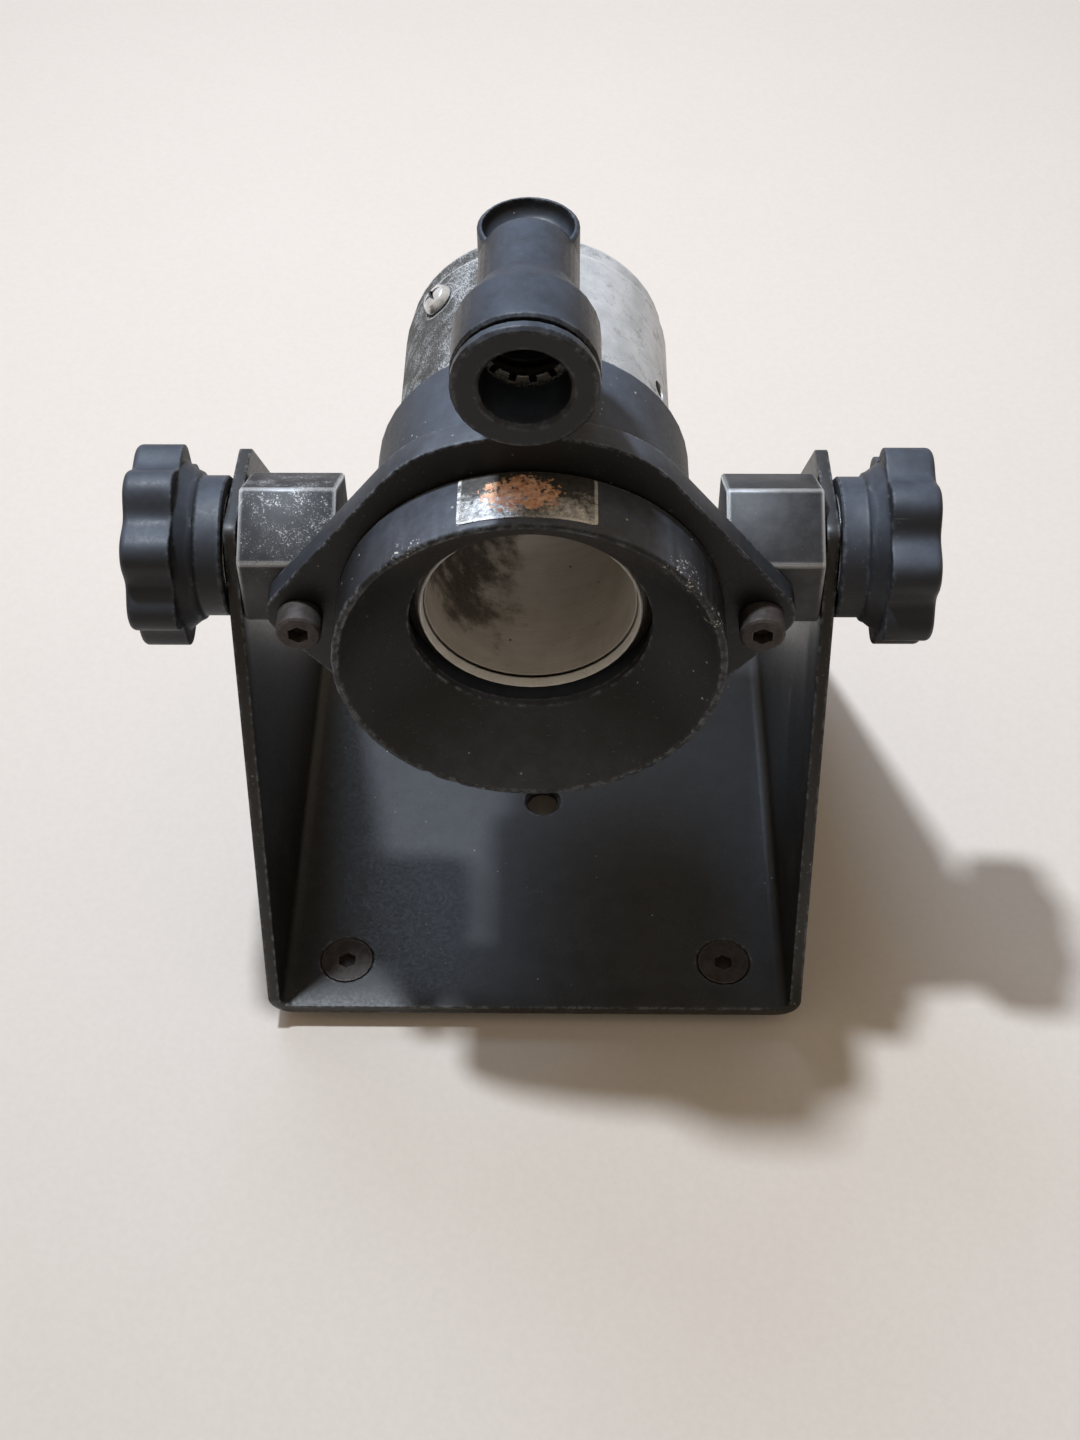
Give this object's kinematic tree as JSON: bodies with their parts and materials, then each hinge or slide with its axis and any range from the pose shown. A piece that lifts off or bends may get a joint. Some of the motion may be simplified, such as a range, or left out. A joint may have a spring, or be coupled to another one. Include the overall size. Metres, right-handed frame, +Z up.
{
  "type": "air amplifier",
  "caption": "Compressed-air amplifier head with a conical mouth, side inlet elbow and trunnions, clamped by lobed knobs in a tilting U-bracket.",
  "frame": {"origin": "on the surface the feet stand on, midway between the bracket's sides and its front and rear edges", "axes": "+Z up, the mouth faces -Y, the trunnions and knobs lie along X"},
  "size_m": [0.1234, 0.094, 0.1451],
  "materials": {
    "black_paint": "worn satin black paint, scratched on its edges",
    "black_anodised": "worn black anodising, bare at its corners",
    "raw_aluminium": "dull turned aluminium, dusty and stained",
    "knob_plastic": "moulded dark grey plastic",
    "fitting_plastic": "smooth black moulded plastic",
    "oxidised_steel": "browned, lightly rusted steel",
    "bright_steel": "plated steel",
    "brass": "plated brass",
    "rubber": "black rubber",
    "foil": "worn plain foil"
  },
  "bodies": {
    "bracket": {"bracket": "black_paint", "foot_front_left": "rubber", "foot_front_right": "rubber", "foot_rear_left": "rubber", "foot_rear_right": "rubber", "base_screw_front_left": "oxidised_steel", "base_screw_front_right": "oxidised_steel", "base_screw_rear_left": "oxidised_steel", "base_screw_rear_right": "oxidised_steel"},
    "head": {"mouth_ring": "black_anodised", "mounting_flange": "black_anodised", "body_housing": "black_anodised", "nozzle_ring": "raw_aluminium", "gap_shim": "brass", "inner_tube": "raw_aluminium", "rear_sleeve": "raw_aluminium", "rear_collar": "raw_aluminium", "o_ring_front": "rubber", "o_ring_rear": "rubber", "sleeve_screw_1": "bright_steel", "sleeve_screw_2": "bright_steel", "set_screw": "oxidised_steel", "trunnion_left": "black_anodised", "trunnion_right": "black_anodised", "flange_screw_left": "oxidised_steel", "flange_screw_right": "oxidised_steel", "elbow_stem": "brass", "stem_seal": "rubber", "stem_o_ring": "rubber", "label": "foil"},
    "washer_left": {"knob_washer_left": "bright_steel"},
    "knob_left": {"knob_left": "knob_plastic", "knob_stud_left": "bright_steel"},
    "washer_right": {"knob_washer_right": "bright_steel"},
    "knob_right": {"knob_right": "knob_plastic", "knob_stud_right": "bright_steel"},
    "elbow": {"elbow_body": "fitting_plastic", "tube_o_ring": "rubber", "grab_ring": "bright_steel"},
    "release_collar": {"release_collar": "fitting_plastic"}
  },
  "joints": [
    {"name": "head_tilt", "type": "hinge", "parent": "bracket", "child": "head", "pos_m": [0, -0.013, 0.085], "axis": [1, 0, 0], "range_deg": [-90, 90]},
    {"name": "washer_left_slide", "type": "slide", "parent": "head", "child": "washer_left", "axis": [-1, 0, 0], "range_m": [0, 0.00201]},
    {"name": "knob_left_turn", "type": "hinge", "parent": "washer_left", "child": "knob_left", "pos_m": [0, -0.013, 0.085], "axis": [-1, 0, 0], "range_deg": [0, 720]},
    {"name": "washer_right_slide", "type": "slide", "parent": "head", "child": "washer_right", "axis": [1, 0, 0], "range_m": [0, 0.00201]},
    {"name": "knob_right_turn", "type": "hinge", "parent": "washer_right", "child": "knob_right", "pos_m": [0, -0.013, 0.085], "axis": [1, 0, 0], "range_deg": [0, 720]},
    {"name": "elbow_swivel", "type": "hinge", "parent": "head", "child": "elbow", "pos_m": [0, -0.005, 0.1351], "axis": [0, 0, 1], "continuous": true},
    {"name": "release_push", "type": "slide", "parent": "elbow", "child": "release_collar", "axis": [0, 1, 0], "range_m": [0, 0.001], "stiffness_N_per_m": 4000}
  ],
  "couplings": [
    {"joint": "washer_left_slide", "follows": "knob_left_turn", "m_per_rad": 0.00015915},
    {"joint": "washer_right_slide", "follows": "knob_right_turn", "m_per_rad": 0.00015915}
  ]
}
